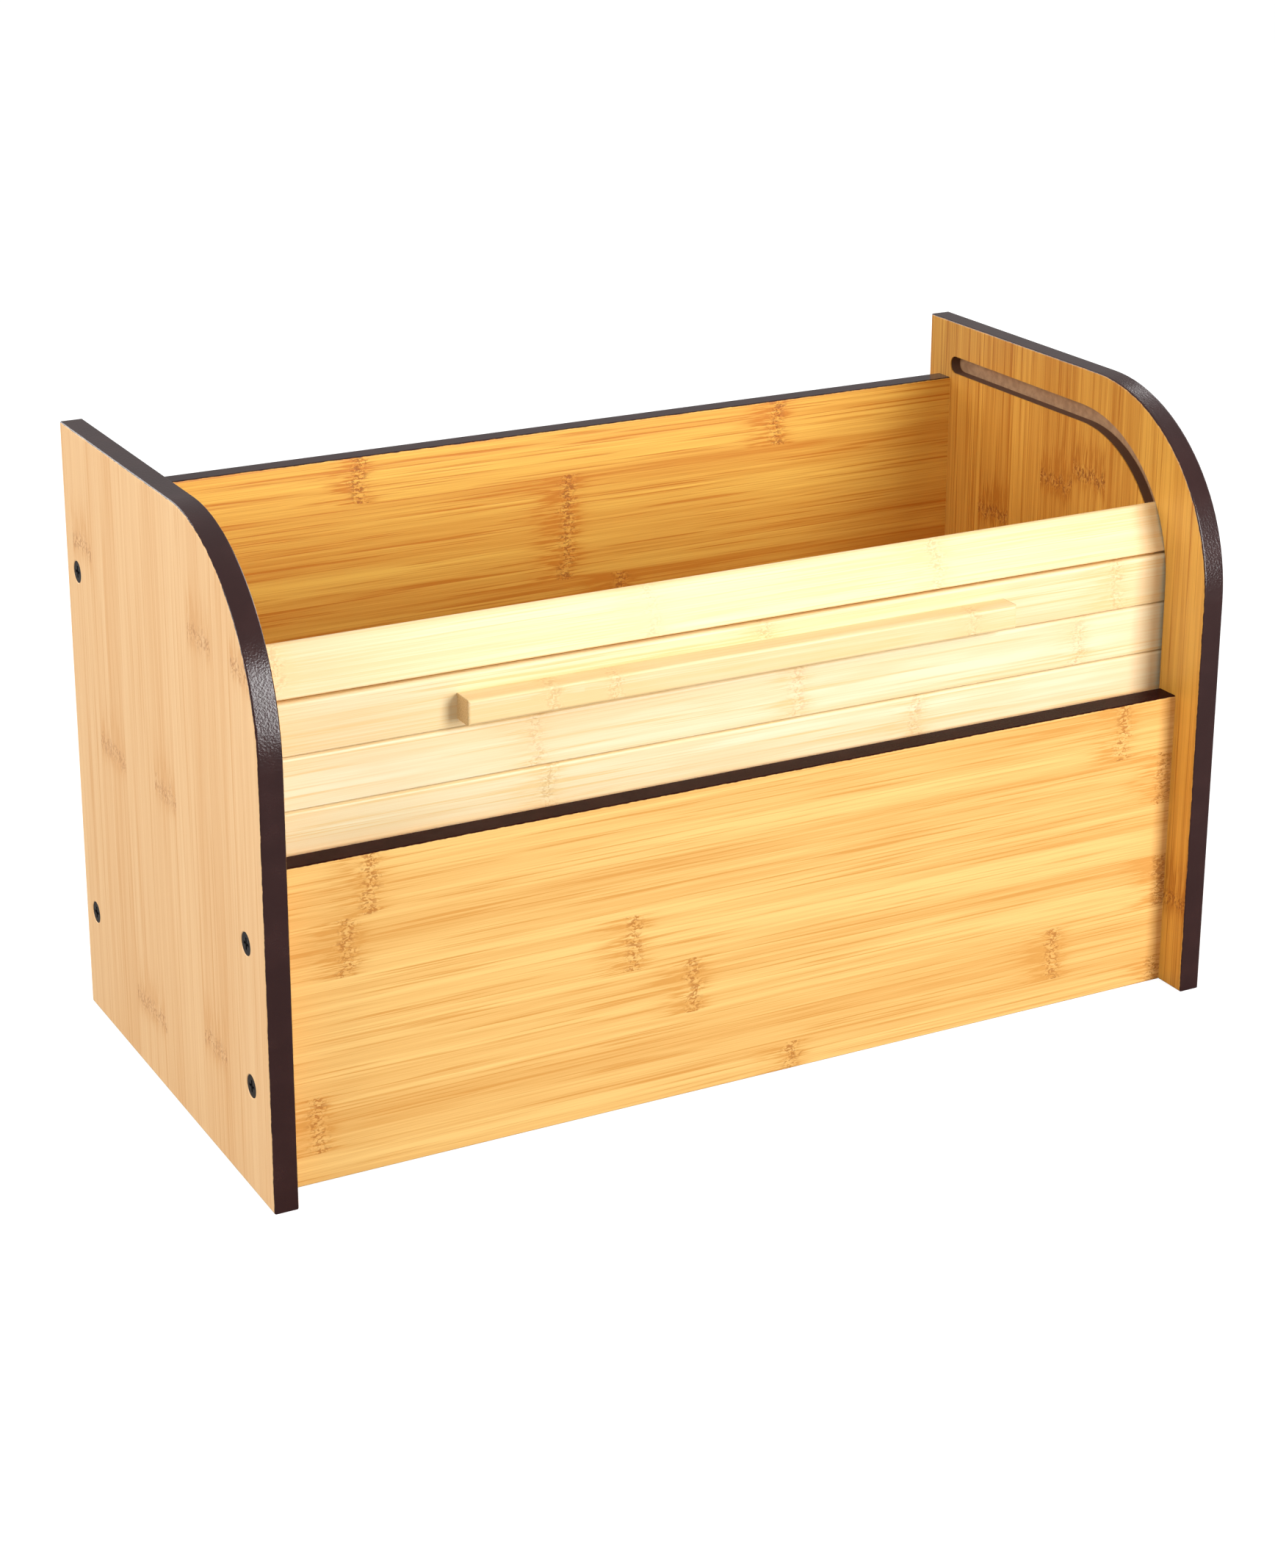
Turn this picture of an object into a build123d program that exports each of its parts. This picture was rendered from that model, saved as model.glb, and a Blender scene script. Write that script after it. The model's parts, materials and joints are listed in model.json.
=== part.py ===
"""Roll-front bread box in bamboo: two shaped sides, a fixed back and front panel, a raised
bread floor, and a tambour curtain of slats that slides down behind the front panel and
turns under the floor.  Lengths in millimetres, +X right, +Y to the back, +Z up, origin on
the table under the middle of the box.  The curtain is drawn half open, its lead slat
leaning on the upper bend of the track."""

import os
from math import cos, degrees, atan2, pi, radians, sin, sqrt

from build123d import *

# ---------------------------------------------------------------- the box
box_width = 400.0  # over the outer faces of the sides
box_depth = 195.0  # front to rear edge of the sides
box_height = 239.5
side_thickness = 9.3
side_corner_radius = 75.5  # the big round at the front top of each side
edge_ease = 0.8  # small round on every exposed board edge

back_thickness = 9.0
back_height = 214.9
back_recess = 7.0  # rear edge of the sides to the rear face of the back panel
front_thickness = 10.5
front_height = 122.3
front_recess = 13.9  # front edge of the sides to the face of the front panel

floor_thickness = 6.0
floor_underside = 18.0  # height above the table
floor_tongue = 4.0  # how far the floor runs into each side and into the back
housing_clearance = 0.1  # round the floor in its housings

# ---------------------------------------------------------------- the track in each side
track_width = 7.4
track_depth = 5.0
track_top_margin = 14.8  # top edge of the side to the upper wall of the track
track_bend_radius = 56.3  # centre line of both bends
track_bottom_height = 11.5  # centre line of the bottom run above the table
track_tail_room = 6.0  # spare track behind the last slat when the curtain is fully open

# ---------------------------------------------------------------- the curtain
slat_count = 12
slat_pitch = 20.0
slat_gap = 0.4
slat_thickness = 4.8
slat_top_round = 1.4  # radius of the upper show edge
slat_bottom_round = 0.5  # radius of the lower show edge
slat_back_bevel = 1.9  # lets the slats fold towards the canvas
slat_end_clearance = 0.8  # end of a slat to the bottom of the track
front_run_setback = 0.4  # upright slats hang this far behind the track's centre line
front_run_top = 177.6  # top of slat 2, the first upright one
upright_slats = 4  # how many hang straight down below the lead slat
lead_lean = 22.3  # degrees that slat 1 leans back
opening_travel = 38.4  # down to where the handle meets the front panel

canvas_thickness = 0.6
canvas_side_margin = 4.0  # side panel to the edge of the canvas
canvas_end_margin = 0.95  # edge of an outer slat to the end of its canvas
canvas_floor_clearance = 2.3  # canvas in the lower bend to the bread floor

# ---------------------------------------------------------------- the handle
handle_length = 230.0
handle_depth = 9.3
handle_height = 9.5
handle_bottom = 161.0
handle_ease = 1.1
handle_screw_spacing = 160.0

# ---------------------------------------------------------------- fasteners
panel_screw_length = 30.0
panel_screw_radius = 1.9
panel_screw_head = 4.25  # head radius
front_screw_inset = 4.0  # face of the front panel to the screws' axis
front_screw_heights = (41.6, 95.8)
back_screw_heights = (42.9, 183.3)
handle_screw_length = 10.5
handle_screw_radius = 1.4
handle_screw_head = 2.6
head_sink = 0.2  # head below the face it is driven into
hole_clearance = 0.2  # round a shank in its clearance hole
pilot_clearance = 0.05  # round a shank in its pilot hole
pilot_spare = 1.0  # pilot hole beyond the screw's point
sink_clearance = 0.1
countersink_angle = 90.0
canvas_hole_clearance = 0.8  # round a handle screw's head

# ---------------------------------------------------------------- places that follow
front_edge = -box_depth / 2
inner_x = box_width / 2 - side_thickness
front_face = front_edge + front_recess
front_back = front_face + front_thickness
back_rear = -front_edge - back_recess
back_front = back_rear - back_thickness

track_y = front_back + track_width / 2
bend_y = track_y + track_bend_radius
track_top = box_height - track_top_margin - track_width / 2
upper_bend_z = track_top - track_bend_radius
lower_bend_z = track_bottom_height + track_bend_radius
track_rear_end = back_front - track_width / 2

slat_width = slat_pitch - slat_gap
slat_length = 2 * (inner_x + track_depth - slat_end_clearance)
canvas_width = 2 * (inner_x - canvas_side_margin)
front_run_y = track_y + front_run_setback
handle_back = front_run_y - slat_thickness / 2
handle_middle = handle_bottom + handle_height / 2

# The canvas comes in one strip for the upright slats and one for each of the others.
upright_run = list(range(2, 2 + upright_slats))
canvas_sections = [[1], upright_run] + [[n] for n in range(2 + upright_slats, slat_count + 1)]

os.makedirs("parts", exist_ok=True)


def save(part, name):
    """Label a finished piece and write it as its own STEP file."""
    part.label = name
    export_step(part, f"parts/{name}.step")


def track_point(distance):
    """Point (y, z) on the track's centre line, this far below the foot of the upper bend."""
    straight = upper_bend_z - lower_bend_z
    bend = track_bend_radius * pi / 2
    if distance <= straight:
        return track_y, upper_bend_z - distance
    if distance <= straight + bend:
        turned = (distance - straight) / track_bend_radius
        return (
            bend_y - track_bend_radius * cos(turned),
            lower_bend_z - track_bend_radius * sin(turned),
        )
    return bend_y + distance - straight - bend, track_bottom_height


def slat_place(number):
    """Centre (y, z) of a slat at rest and how many degrees its top leans back."""
    top = front_run_top - slat_pitch * (number - 2)
    if number == 1:
        lean = radians(lead_lean)
        half = slat_pitch / 2
        return front_run_y + half * sin(lean), front_run_top + half * cos(lean), lead_lean
    if top - slat_pitch >= lower_bend_z:
        return front_run_y, top - slat_pitch / 2, 0.0
    upper_y, upper_z = track_point(upper_bend_z - top)
    lower_y, lower_z = track_point(upper_bend_z - top + slat_pitch)
    lean = degrees(atan2(upper_y - lower_y, upper_z - lower_z))
    return (upper_y + lower_y) / 2, (upper_z + lower_z) / 2, lean


def slat_plane(number):
    """Cross-section plane of a slat: local x towards the canvas, local y up the slat."""
    y, z, lean = slat_place(number)
    across = (0, cos(radians(lean)), -sin(radians(lean)))
    return Plane(origin=(0, y, z), x_dir=across, z_dir=(1, 0, 0))


def countersunk_screw(length, shank_radius, head_radius):
    """Cross-recessed wood screw with its head's top at the origin and its point at -Z."""
    head_height = head_radius - shank_radius
    point_height = 2 * shank_radius
    with BuildPart() as screw:
        with BuildSketch(Plane.XZ):
            with BuildLine():
                Polyline(
                    (0, 0),
                    (head_radius, 0),
                    (shank_radius, -head_height),
                    (shank_radius, point_height - length),
                    (0, -length),
                    close=True,
                )
            make_face()
        revolve(axis=Axis.Z)
        with BuildSketch():
            Rectangle(1.1 * head_radius, 0.26 * head_radius)
            Rectangle(0.26 * head_radius, 1.1 * head_radius)
        extrude(amount=-0.4 * head_radius, taper=8, mode=Mode.SUBTRACT)
    return screw.part


def panel_screw_planes(heights, y):
    """Planes on the right side's outer face, looking out, where panel screws go in."""
    return [Plane(origin=(box_width / 2, y, z), z_dir=(1, 0, 0)) for z in heights]


front_screw_y = front_face + front_screw_inset
back_screw_y = back_rear - back_thickness / 2
front_screw_planes = panel_screw_planes(front_screw_heights, front_screw_y)
back_screw_planes = panel_screw_planes(back_screw_heights, back_screw_y)

# The bread floor's front edge follows the curtain's inner side round the lower bend.
canvas_bend_radius = track_bend_radius - slat_thickness / 2 - canvas_thickness
floor_bend_radius = canvas_bend_radius - canvas_floor_clearance


def floor_front(height):
    """Front of the bread floor at a height, clear of the curtain in the lower bend."""
    return bend_y - sqrt(floor_bend_radius**2 - (lower_bend_z - height) ** 2)


with BuildSketch() as floor_section:
    floor_top = floor_underside + floor_thickness
    with BuildLine():
        Polyline(
            (floor_front(floor_underside), floor_underside),
            (back_front + floor_tongue, floor_underside),
            (back_front + floor_tongue, floor_top),
            (floor_front(floor_top), floor_top),
            close=True,
        )
    make_face()

with BuildSketch() as floor_housing:
    add(floor_section.sketch)
    offset(amount=housing_clearance, kind=Kind.INTERSECTION)

# ---------------------------------------------------------------- side panels
with BuildPart() as right_side:
    with BuildSketch(Plane.YZ.offset(inner_x)):
        with BuildLine():
            rear_edge = -front_edge
            arc_y = front_edge + side_corner_radius
            arc_z = box_height - side_corner_radius
            Polyline((arc_y, box_height), (rear_edge, box_height), (rear_edge, 0), (front_edge, 0))
            Line((front_edge, 0), (front_edge, arc_z))
            RadiusArc((front_edge, arc_z), (arc_y, box_height), side_corner_radius)
        make_face()
    extrude(amount=side_thickness)
    fillet(faces().filter_by(Axis.X).edges(), radius=edge_ease)

    # The track: back along the top, round the upper bend, down behind the front panel,
    # round the lower bend and back under the bread floor.
    tail = upper_bend_z - front_run_top + slat_pitch * (slat_count - 1) + opening_travel
    with BuildSketch(Plane.YZ.offset(inner_x)) as track:
        with BuildLine() as track_line:
            track_tail = track_point(tail + track_tail_room)
            Line((track_rear_end, track_top), (bend_y, track_top))
            RadiusArc((bend_y, track_top), (track_y, upper_bend_z), -track_bend_radius)
            Line((track_y, upper_bend_z), (track_y, lower_bend_z))
            RadiusArc((track_y, lower_bend_z), (bend_y, track_bottom_height), -track_bend_radius)
            Line((bend_y, track_bottom_height), track_tail)
        trace(line_width=track_width)
        with Locations((track_rear_end, track_top), track_tail):
            Circle(track_width / 2)
    extrude(amount=track_depth, mode=Mode.SUBTRACT)

    # Housing for the bread floor's end.
    with BuildSketch(Plane.YZ.offset(inner_x)):
        add(floor_housing.sketch)
    extrude(amount=floor_tongue + housing_clearance, mode=Mode.SUBTRACT)

    with Locations(*front_screw_planes, *back_screw_planes):
        CounterSinkHole(
            radius=panel_screw_radius + hole_clearance,
            counter_sink_radius=panel_screw_head + head_sink + sink_clearance,
            counter_sink_angle=countersink_angle,
            depth=side_thickness,
        )

save(right_side.part, "right_side_panel")

with BuildPart() as left_side:
    add(mirror(right_side.part, about=Plane.YZ, mode=Mode.PRIVATE))

save(left_side.part, "left_side_panel")


# ---------------------------------------------------------------- front and back panels
def pilot_planes(heights, y):
    """Planes on both ends of a panel, looking out, where its pilot holes start."""
    return [
        Plane(origin=(end * inner_x, y, z), z_dir=(end, 0, 0)) for end in (1, -1) for z in heights
    ]


pilot_depth = panel_screw_length - side_thickness + pilot_spare

with BuildPart() as front_panel:
    with BuildSketch(Plane.YZ.offset(-inner_x)):
        with Locations((front_face, 0)):
            Rectangle(front_thickness, front_height, align=(Align.MIN, Align.MIN))
    extrude(amount=2 * inner_x)
    fillet(edges().filter_by(Axis.X), radius=edge_ease)
    with Locations(*pilot_planes(front_screw_heights, front_screw_y)):
        Hole(radius=panel_screw_radius + pilot_clearance, depth=pilot_depth)

save(front_panel.part, "front_panel")

with BuildPart() as back_panel:
    with BuildSketch(Plane.YZ.offset(-inner_x)):
        with Locations((back_front, 0)):
            Rectangle(back_thickness, back_height, align=(Align.MIN, Align.MIN))
    extrude(amount=2 * inner_x)
    fillet(edges().filter_by(Axis.X), radius=edge_ease)
    with BuildSketch(Plane.YZ.offset(-inner_x)):
        add(floor_housing.sketch)
    extrude(amount=2 * inner_x, mode=Mode.SUBTRACT)
    with Locations(*pilot_planes(back_screw_heights, back_screw_y)):
        Hole(radius=panel_screw_radius + pilot_clearance, depth=pilot_depth)

save(back_panel.part, "back_panel")

# ---------------------------------------------------------------- bread floor
with BuildPart() as bread_floor:
    with BuildSketch(Plane.YZ.offset(-inner_x - floor_tongue)):
        add(floor_section.sketch)
    extrude(amount=2 * (inner_x + floor_tongue))

save(bread_floor.part, "bread_floor")

# ---------------------------------------------------------------- panel screws
panel_screw = countersunk_screw(panel_screw_length, panel_screw_radius, panel_screw_head)

for name, planes in (("front", front_screw_planes), ("back", back_screw_planes)):
    with BuildPart() as right_screws:
        with Locations(*[plane.offset(-head_sink) for plane in planes]):
            add(panel_screw)
    save(right_screws.part, f"{name}_panel_screws_right")

    with BuildPart() as left_screws:
        add(mirror(right_screws.part, about=Plane.YZ, mode=Mode.PRIVATE))
    save(left_screws.part, f"{name}_panel_screws_left")

# ---------------------------------------------------------------- curtain slats
handle_screw_planes = [
    Plane(
        origin=(end * handle_screw_spacing / 2, front_run_y + slat_thickness / 2, handle_middle),
        x_dir=(1, 0, 0),
        z_dir=(0, 1, 0),
    )
    for end in (-1, 1)
]

for number in range(1, slat_count + 1):
    with BuildPart() as slat:
        with BuildSketch(slat_plane(number)):
            Rectangle(slat_thickness, slat_width)
            chamfer(vertices().group_by(Axis.X)[-1], length=slat_back_bevel)
            fillet(vertices().group_by(Axis.X)[0].sort_by(Axis.Y)[-1], radius=slat_top_round)
            fillet(vertices().group_by(Axis.X)[0].sort_by(Axis.Y)[0], radius=slat_bottom_round)
        extrude(amount=slat_length / 2, both=True)
        if number == 2:
            with Locations(*handle_screw_planes):
                CounterSinkHole(
                    radius=handle_screw_radius + hole_clearance,
                    counter_sink_radius=handle_screw_head + head_sink + sink_clearance,
                    counter_sink_angle=countersink_angle,
                    depth=slat_thickness,
                )
    save(slat.part, f"slat_{number:02d}")

# ---------------------------------------------------------------- canvas behind the slats
for section in canvas_sections:
    length = slat_pitch * (len(section) - 1) + slat_width - 2 * canvas_end_margin
    middle = (slat_plane(section[0]).origin + slat_plane(section[-1]).origin) / 2
    lean_plane = slat_plane(section[0])
    section_plane = Plane(origin=middle, x_dir=lean_plane.x_dir, z_dir=lean_plane.z_dir)
    with BuildPart() as canvas:
        with BuildSketch(section_plane):
            with Locations(((slat_thickness + canvas_thickness) / 2, 0)):
                Rectangle(canvas_thickness, length)
        extrude(amount=canvas_width / 2, both=True)
        if section == upright_run:
            with Locations(*[plane.offset(canvas_thickness) for plane in handle_screw_planes]):
                Hole(radius=handle_screw_head + canvas_hole_clearance, depth=canvas_thickness)
    numbers = "_to_".join(f"{number:02d}" for number in dict.fromkeys((section[0], section[-1])))
    save(canvas.part, f"canvas_{numbers}")

# ---------------------------------------------------------------- handle and its screws
with BuildPart() as handle:
    with BuildSketch(Plane.YZ.offset(-handle_length / 2)):
        with Locations((handle_back, handle_bottom)):
            Rectangle(handle_depth, handle_height, align=(Align.MAX, Align.MIN))
    extrude(amount=handle_length)
    front_of_handle = faces().sort_by(Axis.Y)[0]
    fillet(front_of_handle.edges(), radius=handle_ease)
    with Locations(*[plane.offset(-slat_thickness) for plane in handle_screw_planes]):
        Hole(
            radius=handle_screw_radius + pilot_clearance,
            depth=handle_screw_length + head_sink - slat_thickness + pilot_spare,
        )

save(handle.part, "handle")

handle_screw = countersunk_screw(handle_screw_length, handle_screw_radius, handle_screw_head)

with BuildPart() as handle_screws:
    with Locations(*[plane.offset(-head_sink) for plane in handle_screw_planes]):
        add(handle_screw)

save(handle_screws.part, "handle_screws")
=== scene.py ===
# %% [markdown]
# # A roll-front bread box in bamboo
#
# The box has two bamboo sides with a track routed into them, a front and a back panel,
# and a curtain of slats that slides in the track. Every board, slat and screw is already
# made to size in the packed frame, so nothing is measured or moved here. What is left
# for Blender is the finish: four tones of bamboo, a dark stain on the boards' edges,
# black screws, and the canvas that holds the curtain together. Each finish is built
# from shader nodes alone, because such a finish has no pixels that blur close up.

# %% Load the frame
import json
from collections import namedtuple
from math import cos, e, pi, radians, sin

import bmesh
import bpy
from mathutils import Matrix, Vector


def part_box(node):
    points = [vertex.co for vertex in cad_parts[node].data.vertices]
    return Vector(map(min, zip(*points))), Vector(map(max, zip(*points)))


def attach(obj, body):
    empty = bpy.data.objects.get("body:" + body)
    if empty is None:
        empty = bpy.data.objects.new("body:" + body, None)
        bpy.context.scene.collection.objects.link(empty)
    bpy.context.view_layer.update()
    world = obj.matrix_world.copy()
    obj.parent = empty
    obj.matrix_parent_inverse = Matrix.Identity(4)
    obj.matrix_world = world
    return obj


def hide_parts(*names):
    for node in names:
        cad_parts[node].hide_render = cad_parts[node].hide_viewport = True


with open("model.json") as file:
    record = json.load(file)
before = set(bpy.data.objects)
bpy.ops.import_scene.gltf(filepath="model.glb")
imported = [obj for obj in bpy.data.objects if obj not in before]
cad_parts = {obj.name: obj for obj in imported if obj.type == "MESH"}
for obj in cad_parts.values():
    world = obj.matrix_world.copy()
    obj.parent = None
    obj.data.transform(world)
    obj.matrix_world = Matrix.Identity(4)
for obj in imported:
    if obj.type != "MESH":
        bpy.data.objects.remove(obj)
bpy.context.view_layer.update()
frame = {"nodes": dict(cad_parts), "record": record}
nodes = frame["nodes"]
MM = 0.001

# %% [markdown]
# The camera stands in front of the box, to its left and a little above, with a long
# lens. It could be placed by eye, but its numbers were worked out from corners of the
# box that show in the photograph, so that every edge falls where it should. The
# photograph is a crop, so the middle of the lens isn't the middle of the picture, and
# the camera's shift puts it where it was. A camera looks along its own -Z axis, so its
# matrix is built from the directions that are right, up and back.

# %% The camera
PICTURE_WIDTH = 1736
PICTURE_HEIGHT = 2135
LENS_MIDDLE_X = 798
LENS_MIDDLE_Y = 847
SENSOR = 36.0  # mm, the sensor's height


def place_camera(turn, tilt, roll, target, distance, focal_pixels):
    """A camera at a distance from its target; turn is to the left, tilt above it."""
    turn, tilt, roll = radians(turn), radians(tilt), radians(roll)
    ahead = Vector((sin(turn) * cos(tilt), cos(turn) * cos(tilt), -sin(tilt)))
    level = Vector((cos(turn), -sin(turn), 0))
    upright = level.cross(ahead)
    right = level * cos(roll) + upright * sin(roll)
    up = right.cross(ahead)
    data = bpy.data.cameras.new("camera")
    data.sensor_fit = "VERTICAL"
    data.sensor_height = SENSOR
    data.lens = focal_pixels * SENSOR / PICTURE_HEIGHT
    data.shift_x = (PICTURE_WIDTH / 2 - LENS_MIDDLE_X) / PICTURE_HEIGHT
    data.shift_y = (LENS_MIDDLE_Y - PICTURE_HEIGHT / 2) / PICTURE_HEIGHT
    camera = bpy.data.objects.new("camera", data)
    facing = Matrix((right, up, -ahead)).transposed().to_4x4()
    camera.matrix_world = Matrix.Translation(target - ahead * distance) @ facing
    bpy.context.scene.collection.objects.link(camera)
    bpy.context.scene.camera = camera
    return camera


camera = place_camera(
    turn=27.25,
    tilt=18.46,
    roll=-0.13,
    target=Vector((-27.3, 0.1, 161.9)) * MM,
    distance=1185.5 * MM,
    focal_pixels=4224.5,
)
camera_place = [round(value, 3) for value in camera.location]
print("camera at", camera_place, "with a lens of", round(camera.data.lens, 1), "mm")

# %% [markdown]
# A pattern such as wood grain is a sum of many small parts. Drawn as boxes and wires it
# is hard to follow, so here a shader is written as sums instead. `Wire` stands for one
# output of a node, and each operator on it adds one Math node. The reflected operators
# make `1 - mask` work as well as `mask - 1`.


# %% Shader maths as Python
class Wire:
    """One output of a shader node."""

    def __init__(self, tree, socket):
        self.tree = tree
        self.socket = socket

    def math(self, operation, *values):
        return self.tree.add("ShaderNodeMath", {"operation": operation}, values)

    def __add__(self, other):
        return self.math("ADD", self, other)

    def __radd__(self, other):
        return self.math("ADD", other, self)

    def __sub__(self, other):
        return self.math("SUBTRACT", self, other)

    def __rsub__(self, other):
        return self.math("SUBTRACT", other, self)

    def __mul__(self, other):
        return self.math("MULTIPLY", self, other)

    def __rmul__(self, other):
        return self.math("MULTIPLY", other, self)

    def __truediv__(self, other):
        return self.math("DIVIDE", self, other)

    def __pow__(self, other):
        return self.math("POWER", self, other)

    def __neg__(self):
        return self.math("SUBTRACT", 0.0, self)

    def __abs__(self):
        return self.math("ABSOLUTE", self)

    def least(self, other):
        return self.math("MINIMUM", self, other)

    def most(self, other):
        return self.math("MAXIMUM", self, other)

    def sine(self):
        return self.math("SINE", self)

    def fade(self, start, end):
        """0 before start and 1 after end, with a soft step between."""
        settings = {"interpolation_type": "SMOOTHSTEP"}
        sockets = {"Value": self, "From Min": start, "From Max": end}
        return self.tree.add("ShaderNodeMapRange", settings, sockets)

    def bell(self, width):
        """1 where this is 0, falling to 0 on both sides within about the width."""
        return self.math("POWER", e, -1 * (self / width) ** 2)


print("a wire's own words:", [name for name in vars(Wire) if not name.startswith("_")])

# %% [markdown]
# `NodeTree` adds the nodes. Its `add` makes any kind of node: it takes the node's type,
# then its settings, then the values or wires of its sockets. Colours go through the Mix
# node and not through Math, because a Math node turns a colour grey. Noise is the
# raw material of every pattern here, since no two places on bamboo are quite alike.


# %% Nodes by name
class NodeTree:
    """A shader's nodes in the making."""

    def __init__(self, tree):
        self.tree = tree

    def add(self, kind, settings=None, sockets=(), output=0):
        """A new node: its type, its settings, and its sockets' values or wires."""
        node = self.tree.nodes.new(kind)
        for name, value in (settings or {}).items():
            if name == "stops":
                self.fill_ramp(node.color_ramp, value)
            else:
                setattr(node, name, value)
        pairs = sockets.items() if isinstance(sockets, dict) else enumerate(sockets)
        for key, value in pairs:
            self.join(value, node.inputs[key])
        return Wire(self, node.outputs[output])

    def fill_ramp(self, ramp, stops):
        """Puts stops of constant colour on a ramp, each from its position upwards."""
        while len(ramp.elements) < len(stops):
            ramp.elements.new(0.5)
        for element, (position, colour) in zip(ramp.elements, stops):
            element.position = position
            element.color = colour
        ramp.interpolation = "CONSTANT"

    def join(self, value, socket):
        """Leads a wire into a socket, or sets the socket to a number or a colour."""
        if isinstance(value, Wire):
            self.tree.links.new(value.socket, socket)
        elif isinstance(value, tuple) and len(value) == 3 and socket.type == "RGBA":
            socket.default_value = (*value, 1)
        else:
            socket.default_value = value

    def split(self, kind, whole, outputs):
        """The parts of a vector or a colour, each as a wire."""
        first = self.add(kind, sockets=[whole])
        return [Wire(self, first.socket.node.outputs[part]) for part in outputs]

    def mix(self, factor, first, second):
        """A colour part of the way from the first to the second."""
        settings = {"data_type": "RGBA"}
        return self.add("ShaderNodeMix", settings, {0: factor, 6: first, 7: second}, 2)

    def blend(self, factor, first, second):
        """A number part of the way from the first to the second."""
        return self.add("ShaderNodeMix", {}, {0: factor, 2: first, 3: second})

    def noise(self, x, y, z, detail=2.0, distortion=0.0):
        """Smooth noise, about 0.5 on average, over three wires."""
        place = self.add("ShaderNodeCombineXYZ", sockets=[x, y, z])
        sockets = {"Vector": place, "Scale": 1.0, "Detail": detail}
        sockets["Distortion"] = distortion
        return self.add("ShaderNodeTexNoise", {}, sockets)


tree_words = [name for name in vars(NodeTree) if not name.startswith("_")]
print("a node tree's words:", tree_words)

# %% [markdown]
# A `Finish` is one material. Its pattern could follow a UV map, but a board is sawn from
# solid stuff, and its grain runs on round the edges. So a finish reads Object
# coordinates, which are places in space, turned into millimetres so that every size
# below can be checked against a real board.


# %% One material in the making
class Finish(NodeTree):
    """A material in the making, with Object coordinates in millimetres."""

    def __init__(self, name):
        self.material = bpy.data.materials.new(name)
        self.material.use_nodes = True
        super().__init__(self.material.node_tree)
        self.shader = self.tree.nodes["Principled BSDF"]
        place = self.add("ShaderNodeTexCoord", output="Object")
        parts = self.split("ShaderNodeSeparateXYZ", place, "XYZ")
        self.x, self.y, self.z = (part / MM for part in parts)

    def specks(self, size, detail=2.0):
        """Noise of one size in mm in every direction."""
        return self.noise(self.x / size, self.y / size, self.z / size, detail)

    def surface(self, colour, roughness, relief=None, depth=0.0):
        """Joins the changing sockets; relief is a height, depth its size in mm."""
        self.join(colour, self.shader.inputs["Base Color"])
        self.join(roughness, self.shader.inputs["Roughness"])
        if relief:
            sockets = {"Strength": 1.0, "Distance": depth * MM, "Height": relief}
            bump = self.add("ShaderNodeBump", {}, sockets)
            self.join(bump, self.shader.inputs["Normal"])


def wear(node_name, finish):
    """Gives a CAD node one finish in place of its packed material."""
    materials = nodes[node_name].data.materials
    materials.clear()
    materials.append(finish.material)
    print(f"{node_name} wears {finish.material.name}, {len(finish.tree.nodes)} nodes")


print("a finish's words:", [name for name in vars(Finish) if not name.startswith("_")])

# %% [markdown]
# Bamboo boards are glued up from strips, most of them about 22 mm wide. Each strip has
# its own tone, and here and there a knot, where the stem had a joint. Cells of a Voronoi
# texture could give each strip a tone at random, but then the knots would fall anywhere.
# Here a colour ramp with constant steps is a look-up table over the strips: red and
# green hold the places of two knots, and blue the strip's tone. The knots are placed
# where the photograph shows them.

# %% The table of strips
KNOT_REACH = 500.0  # mm either side of the middle that the table can hold
NO_KNOT = -KNOT_REACH
TIE = 0.01  # mm, two knots this equally near change over softly


def strip_table(finish, across, strips, top):
    """The knots' places and the tone of the strip that a point lies in."""
    low = strips[0][0]
    stops = []
    for edge, tone, first, second in strips:
        places = [0.5 + place / (2 * KNOT_REACH) for place in (first, second)]
        stops.append(((edge - low) / (top - low), (*places, tone, 1)))
    place = (across - low) / (top - low)
    table = finish.add("ShaderNodeValToRGB", {"stops": stops}, {"Fac": place})
    *knots, tone = finish.split("ShaderNodeSeparateColor", table, range(3))
    first, second = ((knot - 0.5) * (2 * KNOT_REACH) for knot in knots)
    return first, second, tone


def nearest_knot(finish, along, knots):
    """Distance along the grain from the nearest knot, less than 0 before it."""
    from_knot = along - knots[0]
    for knot in knots[1:]:
        other = along - knot
        nearer = (abs(from_knot) - abs(other)).fade(-TIE, TIE)
        from_knot = finish.blend(nearer, from_knot, other)
    return from_knot


print("a knot can lie up to", KNOT_REACH, "mm from the middle of a board")

# %% [markdown]
# Along each strip run long fibres, which show as streaks and fine dark lines. A wave
# texture could draw them, but its stripes are too even for bamboo. Four noises make
# them here, each drawn out along the grain at its own scale, from broad changes of tone
# down to single fibres. `Grain` keeps a noise's size together with how much it darkens.

# %% Fibres
Grain = namedtuple("Grain", "length width detail darkening")  # length and width in mm
BAND = Grain(380, 9, 1.0, 1.1)  # broad, slow changes of tone
STREAK = Grain(210, 2.2, 3.0, 1.3)  # bundles of fibres
FIBRE = Grain(45, 0.45, 1.0, 0.9)  # single fibres
LINE = Grain(90, 0.95, 2.0, 0.62)  # the fine dark lines
LINE_SHIFT = 38.0  # mm, keeps the lines off the fibres' own pattern
LINE_LEVELS = (0.54, 0.68)  # noise at which a line starts and is full


def grain_noise(finish, grain, along, across, through, twist=0.0):
    """Noise drawn out along the grain."""
    place = (along / grain.length, across / grain.width, through / grain.width)
    return finish.noise(*place, grain.detail, twist)


for grain in (BAND, STREAK, FIBRE, LINE):
    print("grain", grain.length, "mm long and", grain.width, "mm wide")
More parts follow.
